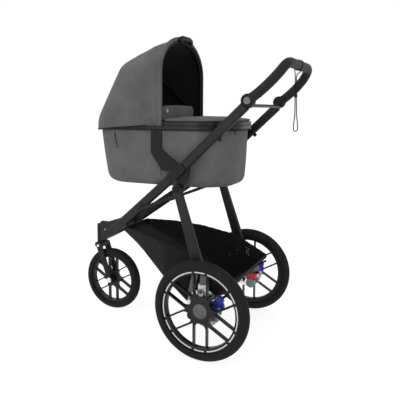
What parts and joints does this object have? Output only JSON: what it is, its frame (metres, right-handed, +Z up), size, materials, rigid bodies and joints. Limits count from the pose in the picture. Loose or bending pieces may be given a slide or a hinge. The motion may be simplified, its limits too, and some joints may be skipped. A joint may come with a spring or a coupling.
{
  "type": "baby stroller",
  "caption": "Three-wheeled pram frame with lift-off bassinet, folding hood, tilting push handle, sprung rear arms, disc brakes, swivelling front wheel and under-seat basket",
  "frame": {"origin": "on the ground, under the centre of the bounding box", "axes": "+X to the rider's left, -Y forwards to the front wheel, +Z up"},
  "size_m": [0.628, 1.035, 1.2645],
  "materials": {
    "frame_satin": "satin charcoal powder coat",
    "fitting_black": "fine-grained moulded black",
    "tyre_black": "plain foam-filled tyre rubber",
    "wheel_black": "satin moulded black",
    "cap_grey": "satin grey dome",
    "bright_steel": "bright zinc-plated steel",
    "grip_leather": "stippled black leather-look wrap",
    "button_grey": "smooth grey moulding",
    "cord_black": "braided black cord",
    "fabric_grey": "mid-grey melange cloth",
    "fabric_black": "black lining cloth",
    "rim_band": "dark glossy band",
    "bracket_grey": "light grey cast finish",
    "elastomer_white": "ribbed off-white elastomer",
    "caliper_blue": "blue anodised look",
    "pad_red": "red moulding",
    "base_green_grey": "grey-green moulding"
  },
  "bodies": {
    "upper_frame": {"upper_rail_left": "frame_satin", "upper_rail_right": "frame_satin", "side_hubs": "fitting_black", "handle_hubs": "fitting_black", "cross_brace": "frame_satin"},
    "front_frame": {"front_rail_left": "frame_satin", "front_rail_right": "frame_satin", "nose_housing": "fitting_black", "basket": "fabric_black"},
    "rear_legs": {"rear_leg_left": "frame_satin", "rear_leg_right": "frame_satin", "leg_knuckles": "bracket_grey", "strut_feet": "bracket_grey", "cross_beam": "frame_satin"},
    "brace_left": {"folding_brace_left": "frame_satin"},
    "brace_right": {"folding_brace_right": "frame_satin"},
    "caster": {"fork": "frame_satin", "fork_bolt": "bright_steel", "front_axle": "bright_steel"},
    "front_wheel": {"front_tyre": "tyre_black", "front_rim": "wheel_black"},
    "lock_button": {"swivel_lock": "fitting_black"},
    "grip_bar": {"handlebar": "grip_leather", "strap_collar": "grip_leather", "wrist_strap": "cord_black", "strap_slider": "fitting_black"},
    "bassinet": {"bassinet_body": "fabric_grey", "bassinet_rim": "rim_band", "mattress": "fabric_black", "apron": "fabric_grey", "wind_flap": "fabric_grey", "mount_arms": "fitting_black"},
    "canopy": {"front_bow": "fitting_black", "carry_handle": "fitting_black", "canopy_fabric": "fabric_grey"},
    "middle_bow": {"mid_bow": "fitting_black"},
    "arm_left": {"swing_arm_left": "bracket_grey", "bushing_left": "elastomer_white", "caliper_left": "caliper_blue", "brake_pad_block_left": "pad_red", "brake_base_left": "base_green_grey"},
    "rear_wheel_left": {"rear_tyre_left": "tyre_black", "rear_rim_left": "wheel_black", "hub_cap_left": "cap_grey", "brake_rotor_left": "bright_steel"},
    "lever_left": {"caliper_lever_left": "fitting_black"},
    "button_left": {"handle_button_left": "button_grey"},
    "trigger_left": {"fold_trigger_left": "fitting_black"},
    "arm_right": {"swing_arm_right": "bracket_grey", "bushing_right": "elastomer_white", "caliper_right": "caliper_blue", "brake_pad_block_right": "pad_red", "brake_base_right": "base_green_grey"},
    "rear_wheel_right": {"rear_tyre_right": "tyre_black", "rear_rim_right": "wheel_black", "hub_cap_right": "cap_grey", "brake_rotor_right": "bright_steel"},
    "lever_right": {"caliper_lever_right": "fitting_black"},
    "button_right": {"handle_button_right": "button_grey"},
    "trigger_right": {"fold_trigger_right": "fitting_black"}
  },
  "joints": [
    {"name": "front_fold", "type": "hinge", "parent": "upper_frame", "child": "front_frame", "pos_m": [0, 0.0565, 0.688], "axis": [1, 0, 0], "range_deg": [0, 30]},
    {"name": "leg_fold", "type": "hinge", "parent": "upper_frame", "child": "rear_legs", "pos_m": [0, 0.0865, 0.645], "axis": [1, 0, 0], "range_deg": [-10, 0]},
    {"name": "caster_swivel", "type": "hinge", "parent": "front_frame", "child": "caster", "pos_m": [0, -0.4335, 0.322], "axis": [0, 0, 1], "continuous": true},
    {"name": "front_wheel_spin", "type": "hinge", "parent": "caster", "child": "front_wheel", "pos_m": [0, -0.3705, 0.147], "axis": [1, 0, 0], "continuous": true},
    {"name": "swivel_lock_press", "type": "slide", "parent": "front_frame", "child": "lock_button", "axis": [0, 0, -1], "range_m": [0, 0.005], "stiffness_N_per_m": 300, "springref_m": -0.004},
    {"name": "handlebar_tilt", "type": "hinge", "parent": "upper_frame", "child": "grip_bar", "pos_m": [0, 0.3665, 0.989], "axis": [1, 0, 0], "range_deg": [-50, 30]},
    {"name": "bassinet_lift", "type": "slide", "parent": "upper_frame", "child": "bassinet", "axis": [0, 0, 1], "range_m": [0, 0.5]},
    {"name": "canopy_fold", "type": "hinge", "parent": "bassinet", "child": "canopy", "pos_m": [0, -0.0055, 0.917], "axis": [1, 0, 0], "range_deg": [0, 70], "deforming": ["canopy_fabric"]},
    {"name": "middle_bow_fold", "type": "hinge", "parent": "bassinet", "child": "middle_bow", "pos_m": [0, -0.0055, 0.917], "axis": [1, 0, 0], "range_deg": [0, 31.5]},
    {"name": "brace_fold_left", "type": "hinge", "parent": "rear_legs", "child": "brace_left", "pos_m": [0.21, 0.0665, 0.612], "axis": [1, 0, 0], "range_deg": [0, 49]},
    {"name": "suspension_left", "type": "hinge", "parent": "rear_legs", "child": "arm_left", "pos_m": [0.243, 0.1565, 0.15], "axis": [1, 0, 0], "range_deg": [0, 6], "stiffness_Nm_per_rad": 60, "springref_deg": -8.59, "deforming": ["bushing_left"]},
    {"name": "rear_wheel_spin_left", "type": "hinge", "parent": "arm_left", "child": "rear_wheel_left", "pos_m": [0.291, 0.2165, 0.195], "axis": [1, 0, 0], "continuous": true},
    {"name": "brake_lever_pull_left", "type": "hinge", "parent": "arm_left", "child": "lever_left", "pos_m": [0.248, 0.2865, 0.243], "axis": [1, 0, 0], "range_deg": [0, 10], "stiffness_Nm_per_rad": 0.5, "springref_deg": -5.73},
    {"name": "tilt_button_press_left", "type": "slide", "parent": "grip_bar", "child": "button_left", "axis": [-1, 0, 0], "range_m": [0, 0.003], "stiffness_N_per_m": 400, "springref_m": -0.003},
    {"name": "fold_trigger_pull_left", "type": "slide", "parent": "upper_frame", "child": "trigger_left", "axis": [0, 0.7457, 0.6663], "range_m": [0, 0.01], "stiffness_N_per_m": 200, "springref_m": -0.006},
    {"name": "brace_fold_right", "type": "hinge", "parent": "rear_legs", "child": "brace_right", "pos_m": [-0.21, 0.0665, 0.612], "axis": [1, 0, 0], "range_deg": [0, 49]},
    {"name": "suspension_right", "type": "hinge", "parent": "rear_legs", "child": "arm_right", "pos_m": [-0.243, 0.1565, 0.15], "axis": [1, 0, 0], "range_deg": [0, 6], "stiffness_Nm_per_rad": 60, "springref_deg": -8.59, "deforming": ["bushing_right"]},
    {"name": "rear_wheel_spin_right", "type": "hinge", "parent": "arm_right", "child": "rear_wheel_right", "pos_m": [-0.291, 0.2165, 0.195], "axis": [1, 0, 0], "continuous": true},
    {"name": "brake_lever_pull_right", "type": "hinge", "parent": "arm_right", "child": "lever_right", "pos_m": [-0.248, 0.2865, 0.243], "axis": [1, 0, 0], "range_deg": [0, 10], "stiffness_Nm_per_rad": 0.5, "springref_deg": -5.73},
    {"name": "tilt_button_press_right", "type": "slide", "parent": "grip_bar", "child": "button_right", "axis": [1, 0, 0], "range_m": [0, 0.003], "stiffness_N_per_m": 400, "springref_m": -0.003},
    {"name": "fold_trigger_pull_right", "type": "slide", "parent": "upper_frame", "child": "trigger_right", "axis": [0, 0.7457, 0.6663], "range_m": [0, 0.01], "stiffness_N_per_m": 200, "springref_m": -0.006}
  ],
  "couplings": [
    {"joint": "leg_fold", "follows": "front_fold", "ratio": -0.3333},
    {"joint": "brace_fold_left", "follows": "front_fold", "ratio": 1.62},
    {"joint": "brace_fold_right", "follows": "front_fold", "ratio": 1.62},
    {"joint": "middle_bow_fold", "follows": "canopy_fold", "ratio": 0.45}
  ]
}
